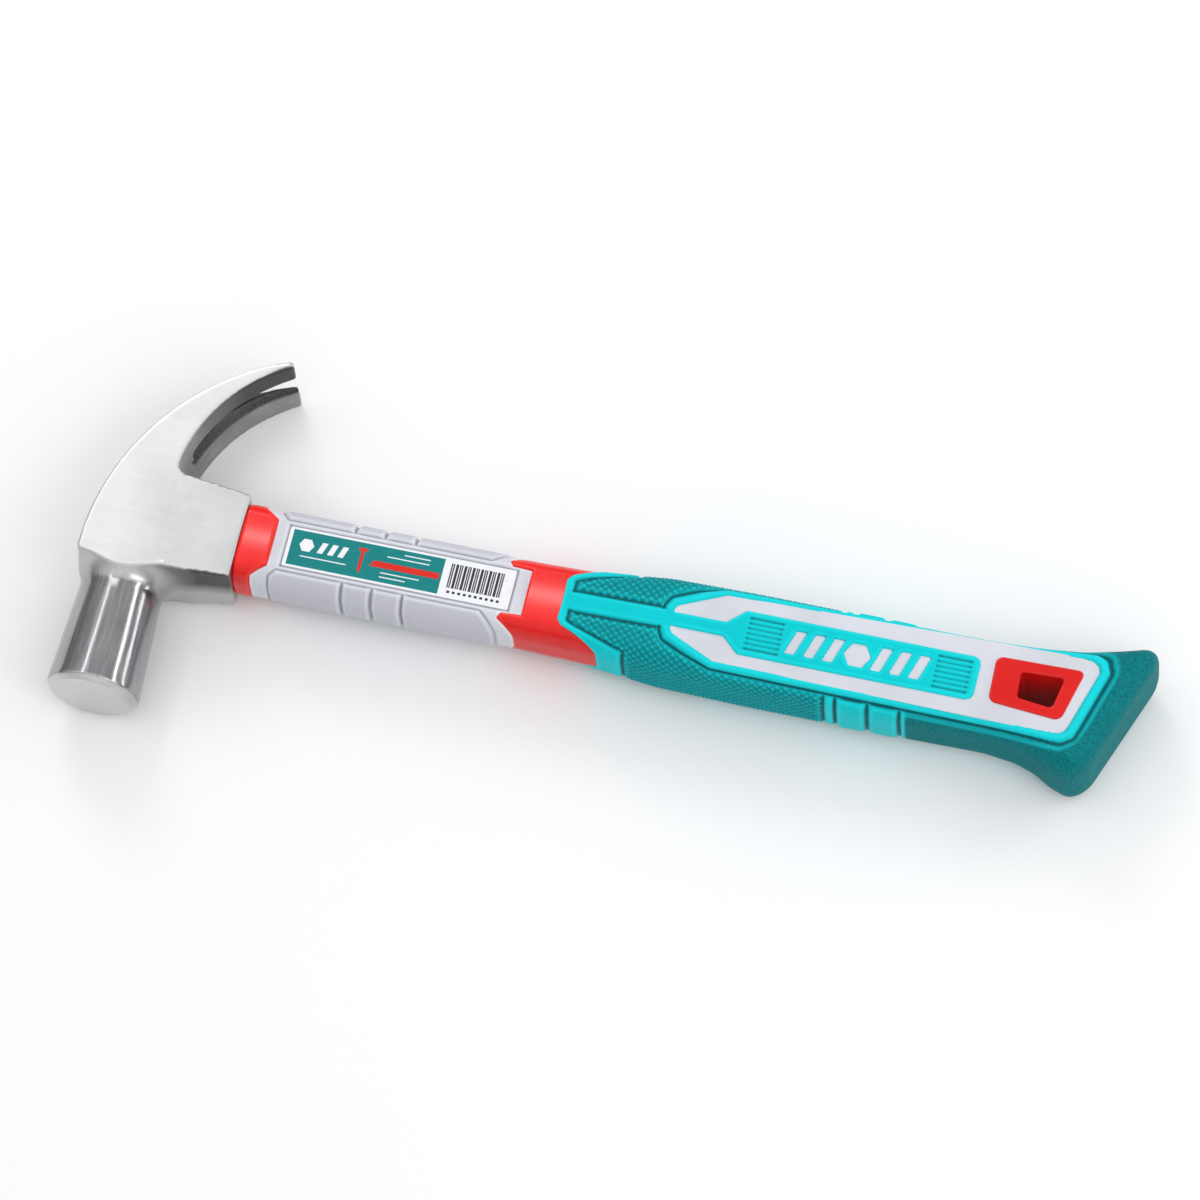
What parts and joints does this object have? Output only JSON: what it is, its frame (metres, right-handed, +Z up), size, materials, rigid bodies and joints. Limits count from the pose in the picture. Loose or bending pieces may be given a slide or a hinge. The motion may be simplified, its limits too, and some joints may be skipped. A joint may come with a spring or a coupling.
{
  "type": "claw hammer",
  "caption": "Claw hammer with a forged steel head, a round poll, two curved claws and a straight fibreglass handle with a sleeve and a flared rubber grip.",
  "frame": {"origin": "middle of the footprint, on the surface that the hammer lies on", "axes": "+X along the handle from the head to the butt, +Y from the striking face to the claws, +Z up out of the upper cheek"},
  "size_m": [0.3244, 0.1148, 0.029],
  "materials": {
    "head_steel": "brushed cheeks and claws, polished poll",
    "fibreglass": "cut pultruded fibreglass",
    "resin": "cast epoxy",
    "red_plastic": "glossy moulded plastic",
    "grey_plastic": "satin moulded plastic with fine grain on the pads",
    "label_film": "printed film",
    "teal_rubber": "soft-touch rubber with textured bands"
  },
  "bodies": {
    "root": {"hammer_head": "head_steel", "fibreglass_core": "fibreglass", "eye_resin": "resin", "red_jacket": "red_plastic", "shaft_sleeve": "grey_plastic", "label_front": "label_film", "label_back": "label_film", "grip": "teal_rubber", "inlay_front": "grey_plastic", "inlay_back": "grey_plastic"}
  },
  "joints": []
}
